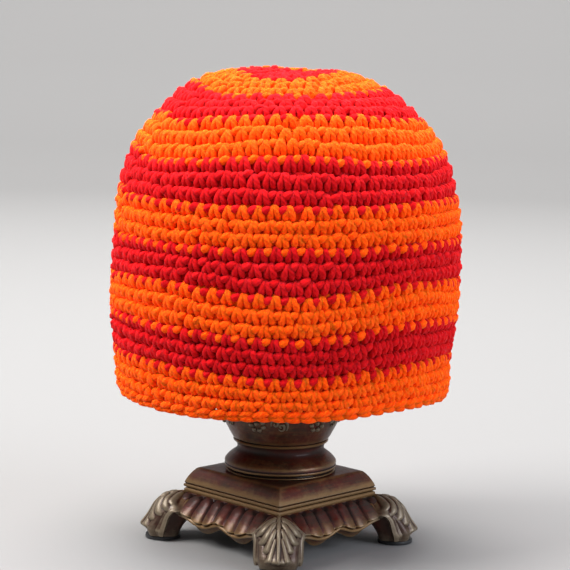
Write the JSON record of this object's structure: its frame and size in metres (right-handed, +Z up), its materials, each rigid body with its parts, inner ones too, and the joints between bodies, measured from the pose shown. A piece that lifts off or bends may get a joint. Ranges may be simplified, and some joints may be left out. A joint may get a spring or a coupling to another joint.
{
  "type": "crochet hat on pedestal stand",
  "caption": "Striped crochet beanie of thick yarn, worked in rounds from the crown down, held up by a small antique bronze pedestal with leaf feet.",
  "frame": {"origin": "floor level under the hat, on the hat's axis and the centre of the stand", "axes": "+Z up, -Y towards the front, +X to the viewer's right; the stand's feet point along X and Y"},
  "size_m": [0.1756, 0.1752, 0.2402],
  "materials": {
    "yarn_red": "soft fuzzy yarn",
    "yarn_orange": "soft fuzzy yarn",
    "stand_bronze": "antique bronze with gold rubbed edges, satin",
    "rest_wood": "plain matte",
    "pad_rubber": "matte black"
  },
  "bodies": {
    "root": {"crown_center": "yarn_red", "crown_ring_orange": "yarn_orange", "crown_ring_red": "yarn_red", "band_orange_1": "yarn_orange", "band_red_1": "yarn_red", "band_orange_2": "yarn_orange", "band_red_2": "yarn_red", "band_orange_3": "yarn_orange", "band_red_3": "yarn_red", "band_orange_4": "yarn_orange", "rim_edging": "yarn_orange", "stand_base": "stand_bronze", "stand_stem": "stand_bronze", "hat_rest": "rest_wood", "foot_pad_front": "pad_rubber", "foot_pad_right": "pad_rubber", "foot_pad_back": "pad_rubber", "foot_pad_left": "pad_rubber"}
  },
  "joints": []
}
